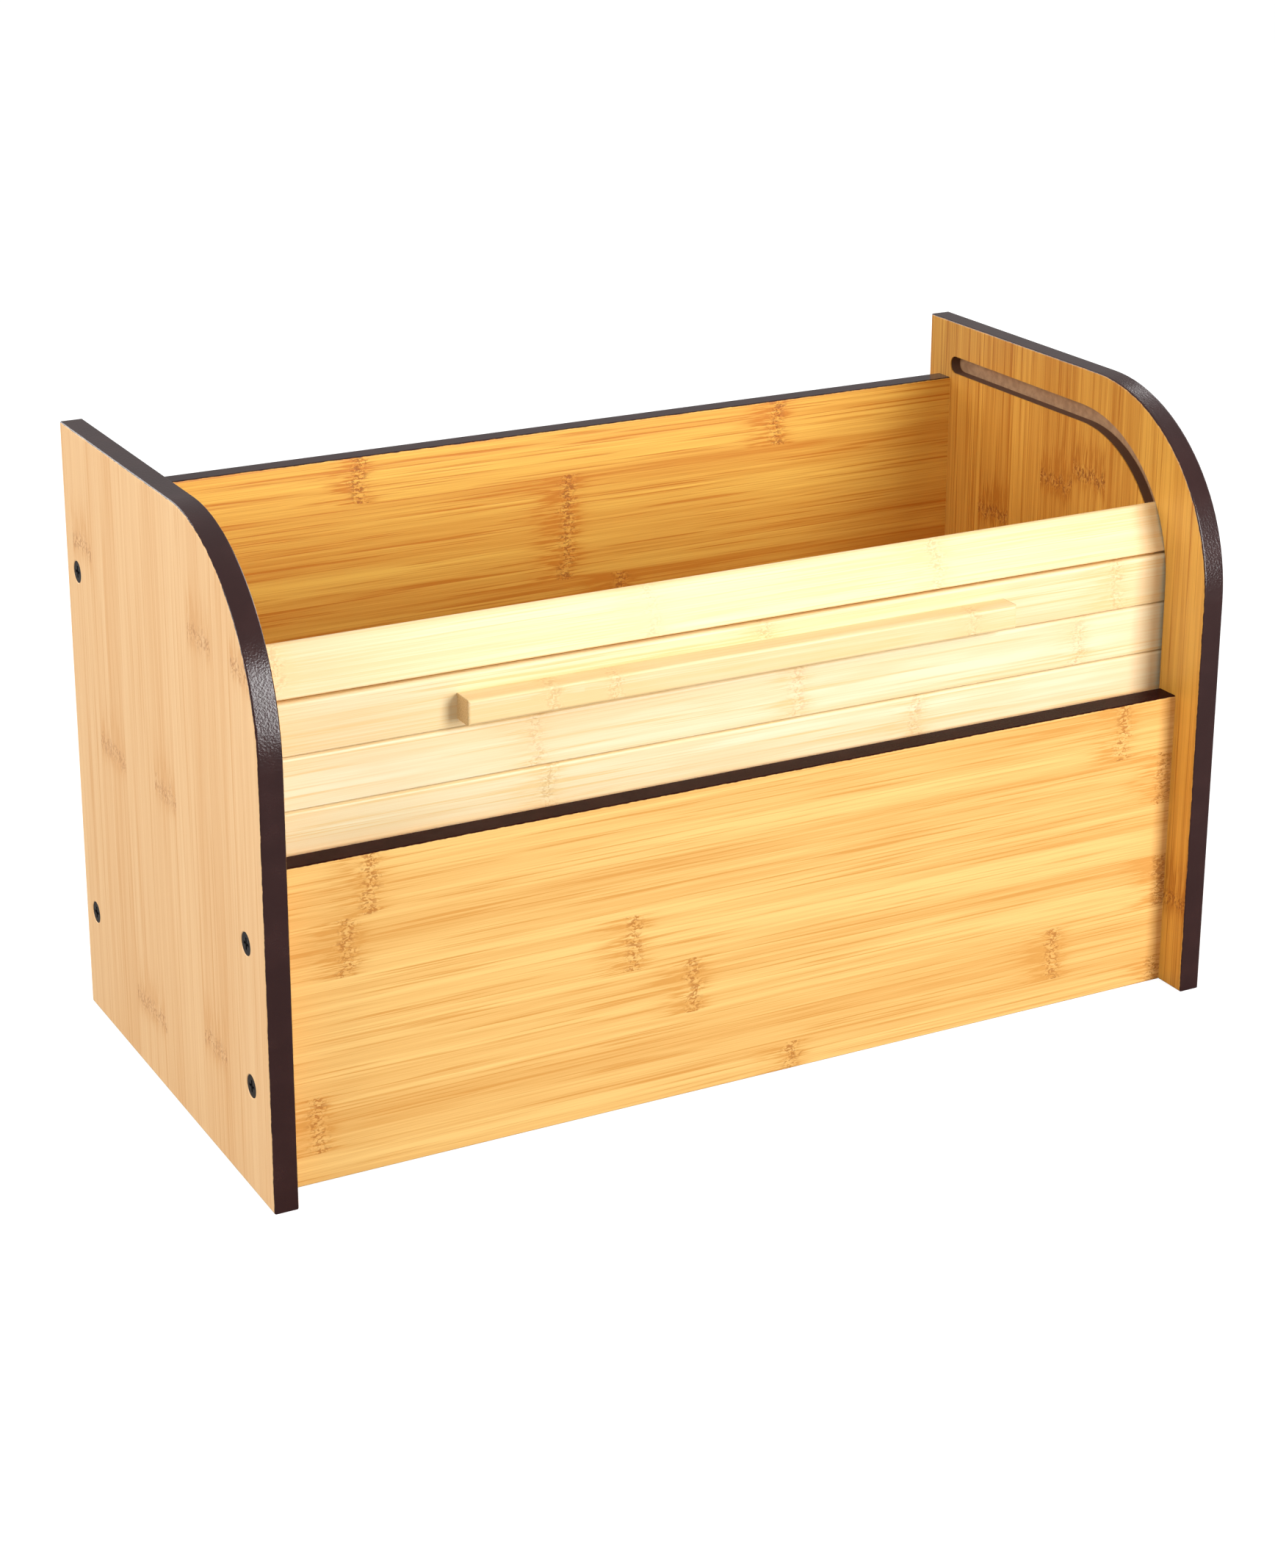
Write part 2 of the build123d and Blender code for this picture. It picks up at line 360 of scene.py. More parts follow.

# %% [markdown]
# At a knot the fibres break up into short dark ticks and pale glints, along a wavy line
# across the strip; the glints are painted highlights where the knot's raised fibres
# catch the light. Dark strands trail away from it, further on one side than on the
# other. All of it hangs on one number, the distance along the grain from the nearest
# knot: a bell curve of it is a mask that is 1 at the knot and fades to both sides.

# %% Knots
STRAND = Grain(14, 0.75, 2.0, 0.85)  # what trails away from a knot
STRAND_LEVELS = (0.44, 0.60)
CRUMB = Grain(1.7, 1.05, 2.0, 0.75)  # the ticks and glints inside a knot
CRUMB_TWIST = 0.9
TICK_LEVELS = (0.50, 0.58)
GLINT_LEVEL = 0.47
GLINT_FADE = 0.07
KNOT_WAVE = 11.0  # mm that a knot's line wanders along the strip
KNOT_WAVE_WIDTH = 3.5
KNOT_WIDTH = 3.0
KNOT_TRAILS = (13.0, 6.0)  # mm before the knot and after it
TRAIL_TURN = 2.0  # mm over which one trail gives way to the other


def knot_masks(finish, along, across, through, knots):
    """How near a point is to a knot: with its trails, and to the knot's own line."""
    width = KNOT_WAVE_WIDTH
    wave = finish.noise(across / width, through / width, 0.0, detail=3.0) - 0.5
    from_knot = nearest_knot(finish, along, knots) + wave * KNOT_WAVE
    trail = finish.blend(from_knot.fade(-TRAIL_TURN, TRAIL_TURN), *KNOT_TRAILS)
    return from_knot.bell(trail), from_knot.bell(KNOT_WIDTH)


def ticks_and_glints(finish, along, across, through, strength):
    """The dark crumbs of a knot and its pale ones, painted highlights, each from 0 to 1.
    """
    crumb = grain_noise(finish, CRUMB, along, across, through, CRUMB_TWIST)
    ticks = (crumb.fade(*TICK_LEVELS) * strength).least(1.0)
    glints = ((GLINT_LEVEL - crumb).fade(0.0, GLINT_FADE) * strength).least(1.0)
    return ticks, glints


print("a knot trails", KNOT_TRAILS[0], "mm one way and", KNOT_TRAILS[1], "mm the other")

# %% [markdown]
# Bamboo is the sum of these. The shade picks a colour between the strip's light and dark
# tones. Fibres bend aside a little where they pass a knot. The same masks also make the
# relief, since the dark lines and ticks are open pores that the varnish doesn't fill.

# %% Bamboo
KNOT_SHADE = 0.12
GLINT_COVER = 0.4
RIPPLE = 2.0  # mm that fibres bend aside in a knot
RIPPLE_SIZE = (3.2, 2.4, 3.0)  # mm along, across and through
LINE_DENT = 0.4
TICK_DENT = 0.8


def bamboo(finish, along, across, through, knots, tone, tones, knotty=1.0, contrast=1.0):
    """Colour and relief of bamboo; tones are its light, dark and knot colours."""
    light, dark, brown = tones
    near, column = knot_masks(finish, along, across, through, knots)
    place = zip((along, across, through), RIPPLE_SIZE)
    ripple = finish.noise(*(distance / size for distance, size in place)) - 0.5
    bent = across + ripple * column * RIPPLE

    band = grain_noise(finish, BAND, along, bent, through) - 0.5
    streak = grain_noise(finish, STREAK, along, bent, through) - 0.5
    fibre = grain_noise(finish, FIBRE, along, bent, through) - 0.5
    line = grain_noise(finish, LINE, along, bent + LINE_SHIFT, through)
    line = line.fade(*LINE_LEVELS)
    strand = grain_noise(finish, STRAND, along, bent, through)
    strand = strand.fade(*STRAND_LEVELS) * near

    fibres = band * BAND.darkening + streak * STREAK.darkening
    fibres = fibres + fibre * FIBRE.darkening + line * LINE.darkening
    shade = tone + fibres * contrast
    shade = shade + (strand * STRAND.darkening + near * KNOT_SHADE) * knotty

    ticks, glints = ticks_and_glints(finish, along, across, through, column * knotty)
    colour = finish.mix(shade, light, dark)
    colour = finish.mix(ticks * CRUMB.darkening, colour, brown)
    # the glints are painted highlights on the knot's raised fibres
    colour = finish.mix(glints * GLINT_COVER, colour, light)
    relief = 0.5 - (line + fibre) * LINE_DENT + (glints - ticks) * TICK_DENT
    return colour, relief


print("fibres bend up to", RIPPLE / 2, "mm aside in a knot")

# %% [markdown]
# The boards' edges are stained nearly black with a purple cast, and lacquered over a
# surface that is still a little pebbled. The stain follows the round shoulder of the
# sides and ends, a little unevenly, where the eased corner meets the face. A second
# material on the edge faces would end in a hard line, so the stain is a mask in the same
# material: the distance in from the board's outline. How much the stain reflects is set
# once for a board, on the shader's own socket.

# %% Stained edges
STAIN = (0.026, 0.0056, 0.0050)
WORN_STAIN = (0.040, 0.0115, 0.0100)
STAIN_WIDTH = 0.35  # mm in from the outline, on the face
EDGE_WANDER = 0.5
EDGE_WANDER_SIZE = 3.0
SOFT_EDGE = 0.2  # mm over which one finish gives way to the next
PEBBLE_SIZE = 0.8
FADED_PATCH = 12.0
FADED_LEVELS = (0.35, 0.75)
FADED_COVER = 0.6
FACE_ROUGHNESS = 0.45
STAIN_ROUGHNESS = 0.20


def past(distance, limit):
    """0 up to the limit, in mm, and 1 just past it."""
    return distance.fade(limit, limit + SOFT_EDGE)


def stain_edges(finish, colour, relief, inset, shine, grit):
    """Stains a bamboo board's edges; inset is the distance in from its outline."""
    wander = (finish.specks(EDGE_WANDER_SIZE, detail=3.0) - 0.5) * EDGE_WANDER
    stained = 1 - past(inset + wander, STAIN_WIDTH - SOFT_EDGE / 2)
    pebble = finish.specks(PEBBLE_SIZE)
    faded = finish.specks(FADED_PATCH).fade(*FADED_LEVELS) * FADED_COVER
    colour = finish.mix(stained, colour, finish.mix(faded, STAIN, WORN_STAIN))
    roughness = finish.blend(stained, FACE_ROUGHNESS, STAIN_ROUGHNESS)
    relief = finish.blend(stained, relief, pebble * grit)
    finish.shader.inputs["Specular IOR Level"].default_value = shine
    return colour, roughness, relief


print("the stain reaches about", STAIN_WIDTH, "mm onto a face")

# %% [markdown]
# The sides are upright boards: their grain runs up, and the strips lie side by side from
# front to back. The outer faces are paler than the inner ones, so a side has two tables
# of strips. The inner faces' deeper gold is partly the wood's own tone and partly
# painted shade of the box's inside. Each row is the strip's front edge, its tone from
# light to dark, and the heights of its knots.

# %% The side panels' strips
SIDE_LOW, SIDE_HIGH = (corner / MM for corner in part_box("right_side_panel"))
PALE = ((0.94, 0.61, 0.310), (0.80, 0.44, 0.180), (0.55, 0.255, 0.105))
# the inner faces' gold, deeper in part as painted shade of the box's inside
GOLDEN_AND_SHADE = ((0.74, 0.375, 0.060), (0.45, 0.155, 0.012), (0.24, 0.064, 0.006))

INNER_STRIPS = [
    (-97.5, 0.14, 37, NO_KNOT),
    (-75.5, 0.22, NO_KNOT, NO_KNOT),
    (-53.5, 0.45, NO_KNOT, NO_KNOT),
    (-31.5, 0.52, 196, NO_KNOT),
    (-9.5, 0.62, 188, 60),
    (12.5, 0.38, NO_KNOT, NO_KNOT),
    (34.5, 0.50, 164, NO_KNOT),
    (56.5, 0.34, 40, NO_KNOT),
    (78.5, 0.40, NO_KNOT, NO_KNOT),
]
OUTER_STRIPS = [
    (-97.5, 0.26, 196, NO_KNOT),
    (-75.5, 0.46, NO_KNOT, NO_KNOT),
    (-56.5, 0.34, 196, 42),
    (-34.5, 0.20, NO_KNOT, NO_KNOT),
    (-14.5, 0.44, 125, NO_KNOT),
    (7.5, 0.28, NO_KNOT, 28),
    (39.5, 0.50, 121, NO_KNOT),
    (67.5, 0.32, 196, NO_KNOT),
    (88.5, 0.24, NO_KNOT, NO_KNOT),
]
side_thickness = round(SIDE_HIGH.x - SIDE_LOW.x, 1)
print("a side is", side_thickness, "mm thick, of", len(OUTER_STRIPS), "strips")

# %% [markdown]
# The routed track cuts through the bamboo skin into a dull brown core, and its walls are
# darker than its bottom. Both are told apart by depth from the inner face. The left side
# mirrors the right one, so one function serves both: `out` says which way is outside.
# The grain is measured downwards here, because a knot's longer trail runs up the board.

# %% The side panels
SHOULDER = 75.5  # mm, the radius of the round front corner
SKIN = 0.35
TRACK_DEPTH = 5.0
CORE_REACH = 0.6  # mm that the core goes on below the track
WALL_FADE = (0.4, 0.1)  # mm above the track's bottom, where its walls end
TRACK_MARGIN = 2.0  # mm, the track comes no nearer to the outline
CORE = (0.340, 0.180, 0.088)
LIGHT_CORE = (0.440, 0.250, 0.125)
DARK_TRACK_WALL = (0.130, 0.055, 0.025)
DUST_SIZE = (0.8, 2.5, 2.5)
DUST_LEVELS = (0.3, 0.7)
CORE_ROUGHNESS = 0.7
SIDE_KNOTTY = 1.15
PALE_CONTRAST = 0.8
BOARD_RELIEF = 0.05  # mm


def side_inset(finish):
    """Distance in from a side panel's outline, round shoulder included."""
    middle_y = SIDE_LOW.y + SHOULDER
    middle_z = SIDE_HIGH.z - SHOULDER
    ahead = (middle_y - finish.y).most(0.0)
    above = (finish.z - middle_z).most(0.0)
    inset = SHOULDER - (ahead * ahead + above * above) ** 0.5
    return inset.least(SIDE_HIGH.y - finish.y).least(finish.z)


def side_wood(finish, depth):
    """Colour and relief of a side: golden with painted shade inside, pale outside."""
    outside = past(depth, TRACK_DEPTH)
    inner = strip_table(finish, finish.y, INNER_STRIPS, SIDE_HIGH.y)
    outer = strip_table(finish, finish.y, OUTER_STRIPS, SIDE_HIGH.y)
    *knots, tone = (finish.blend(outside, a, b) for a, b in zip(inner, outer))
    knots = [-knot for knot in knots]
    # the inner tones hold painted shade of the box's inside
    tones = [finish.mix(outside, golden, pale) for golden, pale in zip(GOLDEN_AND_SHADE, PALE)]
    contrast = finish.blend(outside, 1.0, PALE_CONTRAST)
    place = (-finish.z, finish.y, finish.x)
    return bamboo(finish, *place, knots, tone, tones, SIDE_KNOTTY, contrast)


def track_core(finish, depth):
    """The brown core that shows in the track, darker on the track's walls."""
    place = zip((finish.x, finish.y, finish.z), DUST_SIZE)
    dust = finish.noise(*(distance / size for distance, size in place), detail=3.0)
    core = finish.mix(dust.fade(*DUST_LEVELS), CORE, LIGHT_CORE)
    at_bottom = depth.fade(*(TRACK_DEPTH - above for above in WALL_FADE))
    # the walls get a darker colour than the track's bottom
    return finish.mix(at_bottom, DARK_TRACK_WALL, core)


def side_finish(name, out):
    """Finish of one side panel; out is 1 for the right one and -1 for the left one."""
    finish = Finish(name)
    depth = finish.x * out - SIDE_LOW.x
    colour, relief = side_wood(finish, depth)
    inset = side_inset(finish)
    routed = past(depth, SKIN) * (1 - past(depth, TRACK_DEPTH + CORE_REACH))
    routed = routed * past(inset, TRACK_MARGIN)
    colour = finish.mix(routed, colour, track_core(finish, depth))
    stain = stain_edges(finish, colour, relief, inset, shine=0.55, grit=1.5)
    colour, roughness, relief = stain
    roughness = finish.blend(routed, roughness, CORE_ROUGHNESS)
    finish.surface(colour, roughness, relief, BOARD_RELIEF)
    return finish


wear("right_side_panel", side_finish("side_bamboo_right", 1))
wear("left_side_panel", side_finish("side_bamboo_left", -1))

# %% [markdown]
# The front and back panels and the bread floor are boards with level grain. The front is
# a light caramel, and the back a deeper amber, near the gold of the sides' inner faces.
# The amber of the back and the bread floor is partly their own tone and partly painted
# shade of the box's inside.
# Each row is a strip's lower edge above the table, its tone, and how far its knots lie
# to the right of the middle. The floor's strips follow each other from front to back.

# %% The panels' strips
CARAMEL = ((0.96, 0.61, 0.215), (0.74, 0.36, 0.090), (0.48, 0.185, 0.045))
# deeper in part as painted shade inside the box; the bread floor wears it too
AMBER_AND_SHADE = ((0.98, 0.60, 0.110), (0.68, 0.245, 0.020), (0.38, 0.105, 0.010))

FRONT_STRIPS = [
    (0.0, 0.36, 17, 187),
    (11.0, 0.44, -177, 137),
    (33.0, 0.40, -26, 188),
    (55.0, 0.26, -51, NO_KNOT),
    (77.0, 0.46, -164, 187),
    (99.0, 0.38, -155, 166),
]
BACK_STRIPS = [
    (0.0, 0.60, -120, 90),
    (19.0, 0.50, 60, NO_KNOT),
    (41.0, 0.62, -20, 170),
    (63.0, 0.45, -150, NO_KNOT),
    (85.0, 0.55, 110, NO_KNOT),
    (107.0, 0.62, -70, NO_KNOT),
    (129.0, 0.66, 30, NO_KNOT),
    (151.0, 0.50, 6, NO_KNOT),
    (173.0, 0.44, 6, NO_KNOT),
    (195.0, 0.36, -85, 105),
]
FLOOR_STRIPS = [
    (-45.0, 0.30, 90, NO_KNOT),
    (-23.0, 0.42, -130, NO_KNOT),
    (-1.0, 0.34, 20, 180),
    (21.0, 0.46, -60, NO_KNOT),
    (43.0, 0.36, 150, NO_KNOT),
    (65.0, 0.40, -10, NO_KNOT),
]
print("front and back have", len(FRONT_STRIPS), "and", len(BACK_STRIPS), "strips")

# %% [markdown]
# Only the top and bottom edges of a panel are stained, since its ends are hidden between
# the sides. The front panel's edge faces the lamp, and would look grey if it reflected
# as much as the others, so this board gets less shine and a lower IOR.

# %% The front and back panels and the bread floor
PANEL_KNOTTY = 1.1
PANEL_GRIT = 0.6
FLOOR_KNOTTY = 0.8
FRONT_IOR = 1.15
BOTTOM_STEEPNESS = 4.0  # the bottom edge's stain is that much narrower than the top's


def panel_finish(name, node_name, strips, tones, shine):
    """Finish of an upright panel with level grain and stained top and bottom edges."""
    low, high = (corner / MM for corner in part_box(node_name))
    finish = Finish(name)
    *knots, tone = strip_table(finish, finish.z, strips, high.z)
    place = (finish.x, finish.z, finish.y)
    colour, relief = bamboo(finish, *place, knots, tone, tones, PANEL_KNOTTY)
    inset = (high.z - finish.z).least((finish.z - low.z) * BOTTOM_STEEPNESS)
    stain = stain_edges(finish, colour, relief, inset, shine, PANEL_GRIT)
    finish.surface(*stain, BOARD_RELIEF)
    return finish


def floor_finish(name):
    """Finish of the bread floor, whose strips follow each other from front to back."""
    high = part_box("bread_floor")[1] / MM
    finish = Finish(name)
    *knots, tone = strip_table(finish, finish.y, FLOOR_STRIPS, high.y)
    place = (finish.x, finish.y, finish.z)
    colour, relief = bamboo(finish, *place, knots, tone, AMBER_AND_SHADE, FLOOR_KNOTTY)
    finish.surface(colour, FACE_ROUGHNESS, relief, BOARD_RELIEF)
    return finish


front_bamboo = panel_finish("front_bamboo", "front_panel", FRONT_STRIPS, CARAMEL, 0.15)
front_bamboo.shader.inputs["IOR"].default_value = FRONT_IOR
wear("front_panel", front_bamboo)
wear("back_panel", panel_finish("back_bamboo", "back_panel", BACK_STRIPS, AMBER_AND_SHADE, 0.4))
wear("bread_floor", floor_finish("floor_bamboo"))

# %% [markdown]
# Each slat of the curtain is a single pale strip of bamboo. A slat that has gone round
# the bend lies on its back. Its pattern could be turned with a Mapping node, but the
# angle would have to be known. Instead the slat's mesh is asked: the normal of its
# widest face says how it leans, and places are measured along and across that.

# %% Which way a slat faces
LEVEL = 0.01  # a normal with less than this is taken as having none in that direction


def outward_face(node_name):
    """Outward normal of a slat or a canvas, and the middle of its box in metres."""
    mesh = nodes[node_name].data
    face = max(mesh.polygons, key=lambda side: side.area * (1 - abs(side.normal.x)))
    normal = face.normal.copy()
    lying = abs(normal.y) < LEVEL
    faces_inward = normal.z > 0 if lying else normal.y > 0
    low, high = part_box(node_name)
    return (-normal if faces_inward else normal), (low + high) / 2


print("slat 1 faces", [round(value, 2) for value in outward_face("slat_01")[0]])

# %% [markdown]
# The slats are cream, with warmer patches. Those that show have their tones and knots
# from the photograph, and the hidden ones get theirs from a little arithmetic, which
# gives each slat its own and the same ones every time. Random numbers would do as well,
# but only with a seed.

# %% The slats' tones and knots
CREAM = ((0.97, 0.84, 0.560), (0.89, 0.63, 0.290), (0.64, 0.37, 0.140))
WARM_CREAM = (0.94, 0.69, 0.380)
SEEN_SLATS = {  # number: tone, places of the knots in mm right of the middle
    1: (0.68, (-35, 87, -181)),
    2: (0.58, (-205, 168, 10)),
    3: (0.30, (-84, 24, 151)),
    4: (0.30, (-79, 77, -190)),
}
HANDLE = (0.80, (-82, -57, 95))


def hidden_slat(number):
    """Tone and knots of a slat that the photograph doesn't show."""
    knots = (150 - 47 * number % 310, -190 + 83 * number % 290)
    return 0.2 + 0.07 * (number * 5 % 4), knots


print("slats 1 to", len(SEEN_SLATS), "show; slat 5 has knots at", hidden_slat(5)[1])

# %% [markdown]
# Where a slat or the handle is sawn off, it shows end grain: the cut fibres are a field
# of small dark pores. On the handle's end this can be seen from the front. A slat's own
# ends run in the track.

# %% End grain
END_GRAIN = (0.66, 0.46, 0.220)
PORES = (0.40, 0.24, 0.100)
PORE_SIZE = 0.5
PORE_LEVELS = (0.48, 0.62)
PORE_COVER = 0.6
END_FADE = (0.4, 0.1)  # mm from a sawn end, where its grain starts and is full


def end_grain(finish, colour, half):
    """Puts end grain on both ends of a piece that is twice half long, in mm."""
    pores = finish.specks(PORE_SIZE).fade(*PORE_LEVELS)
    sawn = finish.mix(pores * PORE_COVER, END_GRAIN, PORES)
    at_end = abs(finish.x).fade(*(half - inset for inset in END_FADE))
    return finish.mix(at_end, colour, sawn)


print("pores are about", PORE_SIZE, "mm across")

# %% [markdown]
# The slats' bamboo is the boards' bamboo with quieter knots. All slats would look alike
# if they were cut from the same stretch of pattern, so each is shifted along to a
# stretch of its own. The handle is a bar of the same wood.

# %% The curtain's slats and the handle
PATCH = Grain(55, 9, 2.0, 0.6)
PATCH_LEVELS = (0.42, 0.75)
SLAT_KNOTTY = 0.6
SLAT_RELIEF = 0.03  # mm
SHIFT_STEP = 37.0  # mm between the stretches of pattern that two slats may get
SHIFTS = 23


def slat_finish(name, node_name, tone, knots):
    """Finish of a slat or of the handle, turned to lie along it."""
    finish = Finish(name)
    outward, middle = outward_face(node_name)
    middle = middle / MM
    y, z = finish.y - middle.y, finish.z - middle.z
    through = y * outward.y + z * outward.z
    shift = SHIFT_STEP * (sum(map(ord, node_name)) % SHIFTS)
    across = z * -outward.y + y * outward.z + shift
    place = (finish.x, across, through)
    colour, relief = bamboo(finish, *place, knots, tone, CREAM, SLAT_KNOTTY)
    patch = grain_noise(finish, PATCH, *place).fade(*PATCH_LEVELS)
    colour = finish.mix(patch * PATCH.darkening, colour, WARM_CREAM)
    colour = end_grain(finish, colour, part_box(node_name)[1].x / MM)
    finish.surface(colour, FACE_ROUGHNESS, relief, SLAT_RELIEF)
    return finish


for node_name in sorted(name for name in nodes if name.startswith("slat_")):
    number = int(node_name[-2:])
    tone, knots = SEEN_SLATS.get(number) or hidden_slat(number)
    wear(node_name, slat_finish(f"{node_name}_bamboo", node_name, tone, knots))
wear("handle", slat_finish("handle_bamboo", "handle", *HANDLE))

# %% [markdown]
# The screws are steel with a black oxide finish: nearly black, a little shiny, and not
# quite even. Paint would be simpler, but would lack the metal's reflections, so the
# finish is mostly metallic and has small brighter spots.

# %% The screws
OXIDE = (0.020, 0.020, 0.023)
WORN_OXIDE = (0.075, 0.070, 0.068)
OXIDE_SPOT = 0.5
OXIDE_LEVELS = (0.45, 0.75)
OXIDE_METAL = 0.7
OXIDE_ROUGHNESS = (0.28, 0.50)
OXIDE_RELIEF = 0.02  # mm


def screw_finish(name):
    """Black oxide on steel."""
    finish = Finish(name)
    spots = finish.specks(OXIDE_SPOT, detail=3.0)
    colour = finish.mix(spots.fade(*OXIDE_LEVELS), OXIDE, WORN_OXIDE)
    finish.shader.inputs["Metallic"].default_value = OXIDE_METAL
    finish.surface(colour, finish.blend(spots, *OXIDE_ROUGHNESS), spots, OXIDE_RELIEF)
    return finish


black_oxide = screw_finish("black_oxide")
for node_name in nodes:
    if "screws" in node_name:
        wear(node_name, black_oxide)

# %% [markdown]
# Behind the slats runs a strip of canvas, glued to them. It is what lets the curtain
# bend. Canvas is a plain weave: each thread passes over one and under the next. The
# product of two sines changes sign from crossing to crossing, as on a chessboard, and
# says which thread is on top. The weave follows the cloth wherever it lies, so it reads
# a UV map, in metres.

# %% Woven canvas
THREAD = 0.95  # mm from thread to thread
SLUB_SIZE = (40, 2)  # thicker stretches of thread, along and across it
CROSSING = 0.25  # how softly one thread goes under the next
COTTON = (0.70, 0.62, 0.47)
LIGHT_COTTON = (0.84, 0.78, 0.64)
# painted shadow in the hollows between threads
SHADOW_BETWEEN_THREADS = (0.46, 0.38, 0.26)
SHADE_BETWEEN = 0.4
CANVAS_ROUGHNESS = 0.9
WEAVE_RELIEF = 0.12  # mm


def canvas_finish(name):
    """Plain woven cotton, over and under, from the piece's UV map."""
    finish = Finish(name)
    uv = finish.add("ShaderNodeUVMap", {"uv_map": "cloth"})
    parts = finish.split("ShaderNodeSeparateXYZ", uv, "XY")
    u, v = (part * (pi / (THREAD * MM)) for part in parts)
    slub = finish.noise(u / SLUB_SIZE[0], v / SLUB_SIZE[1], 0.0, detail=3.0)
    over = (u.sine() * v.sine()).fade(-CROSSING, CROSSING)
    weave = finish.blend(over, abs(u.sine()), abs(v.sine()))
    colour = finish.mix(slub, COTTON, LIGHT_COTTON)
    # painted shadow where one thread dips under the next
    colour = finish.mix((1 - weave) * SHADE_BETWEEN, colour, SHADOW_BETWEEN_THREADS)
    finish.surface(colour, CANVAS_ROUGHNESS, weave, WEAVE_RELIEF)
    return finish


canvas = canvas_finish("woven_cotton")
print("woven cotton,", round(10 / THREAD), "threads to the centimetre")

# %% [markdown]
# The frame splits the canvas where the curtain bends, one strip for each moving section.
# Each strip of cloth is a fine grid laid over its flat solid, drawn a little into the
# gaps between slats, where nothing holds it. A cloth simulation could do this too, but
# canvas that is glued down every 20 mm has no room to fall. A Solidify modifier gives it
# its thickness.

# %% The shape of a canvas strip
SLAT_PITCH = 20.0
PUCKER = 0.22  # mm that the cloth is drawn in at a gap
PUCKER_REACH = 1.8  # mm to either side of the gap
FREE_END = 2.0  # mm at each end of a strip that stay flat
COLUMNS = 90
ROWS_PER_SLAT = 12


def strip_directions(node_name):
    """The middle of a flat canvas solid, and which ways are inward and up along it."""
    outward, middle = outward_face(node_name)
    up = Vector((1, 0, 0)).cross(-outward)
    if up.z < -LEVEL or (abs(up.z) < LEVEL and up.y < 0):
        up = -up
    return middle, -outward, up


def pucker_depth(along, length, slats):
    """How far the cloth is drawn in at a place along a strip, all in mm."""
    if abs(along) > length / 2 - FREE_END:
        return 0.0
    cycle = (along / SLAT_PITCH + slats / 2) % 1.0
    to_gap = min(cycle, 1 - cycle) * SLAT_PITCH
    return PUCKER * max(0.0, 1 - to_gap / PUCKER_REACH)


def cloth_mesh(node_name):
    """A gridded sheet over one flat canvas solid, and its width and length."""
    middle, inward, up = strip_directions(node_name)
    low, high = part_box(node_name)
    width = high.x - low.x
    corners = [vertex.co.dot(up) for vertex in nodes[node_name].data.vertices]
    length = max(corners) - min(corners)
    slats = round(length / MM / SLAT_PITCH)

    grid = bmesh.new()
    rows = ROWS_PER_SLAT * slats
    bmesh.ops.create_grid(grid, x_segments=COLUMNS, y_segments=rows, size=0.5)
    uv_layer = grid.loops.layers.uv.new("cloth")
    for vertex in grid.verts:
        across, along = vertex.co.x * width, vertex.co.y * length
        dip = pucker_depth(along / MM, length / MM, slats) * MM
        vertex.co = middle + up * along + Vector((across, 0, 0)) - inward * dip
    for face in grid.faces:
        for loop in face.loops:
            place = loop.vert.co
            loop[uv_layer].uv = (place.x, (place - middle).dot(up) + middle.z)
    bmesh.ops.recalc_face_normals(grid, faces=grid.faces)
    mesh = bpy.data.meshes.new(f"{node_name}_cloth")
    grid.to_mesh(mesh)
    grid.free()
    return mesh, width, length


print("a strip has", COLUMNS, "columns, and", ROWS_PER_SLAT, "rows over each slat")

# %% [markdown]
# A strip of cloth stands in for its solid, which stays in the model for collision but
# isn't shown. It rides on the same body, and its size is printed.

# %% Canvas strips
CLOTH_THICKNESS = 0.5  # mm


def canvas_strip(node_name, body):
    """A cloth strip over one flat canvas solid."""
    mesh, width, length = cloth_mesh(node_name)
    cloth = bpy.data.objects.new(f"{node_name}_cloth", mesh)
    bpy.context.scene.collection.objects.link(cloth)
    mesh.materials.append(canvas.material)
    thick = cloth.modifiers.new("thickness", "SOLIDIFY")
    thick.thickness = CLOTH_THICKNESS * MM
    thick.offset = 0.0
    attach(cloth, body)
    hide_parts(node_name)
    size = f"{width / MM:.1f} x {length / MM:.1f} mm"
    print(f"{cloth.name}: {size}, {len(mesh.polygons)} faces, on {body}")


bodies = frame["record"]["behaviour"]["bodies"]
for body, members in bodies.items():
    for node_name in members:
        if node_name.startswith("canvas_"):
            canvas_strip(node_name, body)

# %% [markdown]
# The photograph has a white ground. A white floor would throw its light back up and
# wash the dark edges out, so the floor is a mid grey that glows white for the camera
# alone: Light Path's Is Camera Ray is 1 only for what the camera sees directly. It still
# takes a faint shadow. The world is made in the same way, plain white to the camera, and
# to the box a soft light that is stronger from above.

# %% Floor and world
FLOOR_HALF = 6.0  # metres
FLOOR_GREY = (0.26, 0.26, 0.26)
FLOOR_ROUGHNESS = 0.8
FLOOR_GLOW = 0.90
WHITE = (1, 1, 1, 1)
SKY_BELOW, SKY_ABOVE = 0.26, 0.50  # strength of the world's light
SKY_SPAN = (-0.1, 0.9)  # upward part of a direction, where it is weakest and strongest


def make_floor():
    """A plain pale floor that looks white to the camera and still takes a shadow."""
    sheet = bmesh.new()
    bmesh.ops.create_grid(sheet, x_segments=1, y_segments=1, size=FLOOR_HALF)
    mesh = bpy.data.meshes.new("floor")
    sheet.to_mesh(mesh)
    sheet.free()
    floor = bpy.data.objects.new("floor", mesh)
    bpy.context.scene.collection.objects.link(floor)
    finish = Finish("pale_floor")
    finish.surface(FLOOR_GREY, FLOOR_ROUGHNESS)
    camera_ray = finish.add("ShaderNodeLightPath", output="Is Camera Ray")
    finish.shader.inputs["Specular IOR Level"].default_value = 0.0
    finish.shader.inputs["Emission Color"].default_value = WHITE
    finish.join(camera_ray * FLOOR_GLOW, finish.shader.inputs["Emission Strength"])
    mesh.materials.append(finish.material)


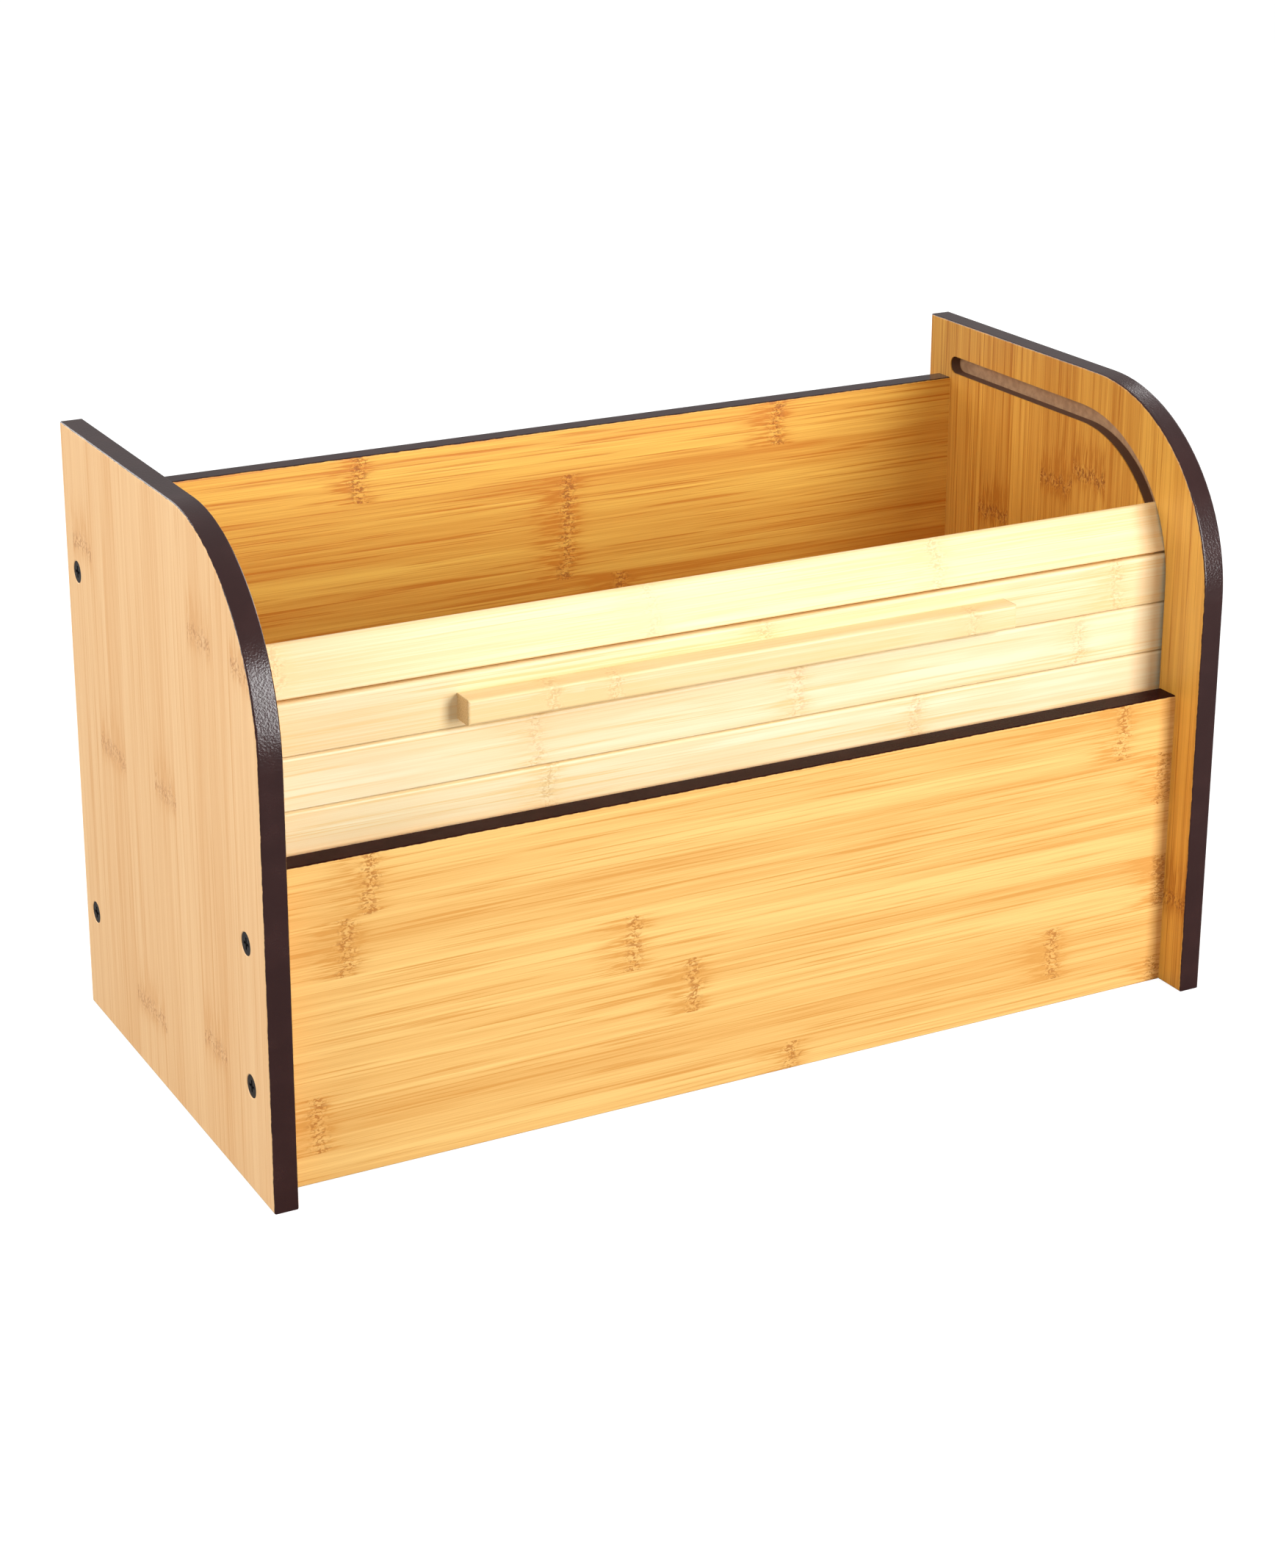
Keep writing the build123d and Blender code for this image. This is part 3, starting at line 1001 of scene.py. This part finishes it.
def make_world():
    """White light, stronger from above, and plain white where the camera looks."""
    world = bpy.data.worlds.new("studio")
    world.use_nodes = True
    bpy.context.scene.world = world
    sky = NodeTree(world.node_tree)
    direction = sky.add("ShaderNodeTexCoord", output="Generated")
    (upward,) = sky.split("ShaderNodeSeparateXYZ", direction, "Z")
    values = [upward, *SKY_SPAN, SKY_BELOW, SKY_ABOVE]
    strength = sky.add("ShaderNodeMapRange", sockets=values)
    camera_ray = sky.add("ShaderNodeLightPath", output="Is Camera Ray")
    background = sky.tree.nodes["Background"]
    background.inputs["Color"].default_value = WHITE
    sky.join(sky.blend(camera_ray, strength, 1.0), background.inputs["Strength"])


make_floor()
make_world()
bpy.context.scene.view_settings.view_transform = "Standard"
print("floor", 2 * FLOOR_HALF, "m wide; world from", SKY_BELOW, "to", SKY_ABOVE)

# %% [markdown]
# The light in the photograph is soft. A tall, narrow softbox at the front right models
# the handle and the slats, and draws the thin highlight along the sides' round
# shoulders. The left outer face is bright too, so a broad lamp fills in from the left.
# Two more stand at the right and at the rear, for views from those sides: the box hides
# most of their light from the main camera. Area lamps are used because a large source
# gives shadows with soft edges. No lamp is seen itself.

# %% Lamps
ABOVE_CURTAIN = (0.0, -0.09, 0.40)
BOX_MIDDLE = (0.0, 0.0, 0.12)


def make_lamp(name, place, target, width, height, power):
    """A soft rectangular lamp that faces its target; metres and watts."""
    data = bpy.data.lights.new(name, "AREA")
    data.shape = "RECTANGLE"
    data.size = width
    data.size_y = height
    data.energy = power
    lamp = bpy.data.objects.new(name, data)
    facing = Vector(target) - Vector(place)
    lamp.location = place
    lamp.rotation_euler = facing.to_track_quat("-Z", "Y").to_euler()
    lamp.visible_camera = False
    bpy.context.scene.collection.objects.link(lamp)
    print(name, power, "W at", round(facing.length, 2), "m")


make_lamp("softbox", (0.64, -1.435, 0.58), ABOVE_CURTAIN, 0.57, 1.06, 25)
make_lamp("left_fill", (-1.65, -0.20, 0.80), BOX_MIDDLE, 1.2, 1.2, 21)
make_lamp("right_fill", (1.65, 0.45, 0.80), BOX_MIDDLE, 1.2, 1.2, 20)
make_lamp("rear_fill", (-0.70, 1.65, 1.10), BOX_MIDDLE, 1.2, 1.2, 16)

# %% [markdown]
# The finishes and the canvas add nothing to the outside of the model.
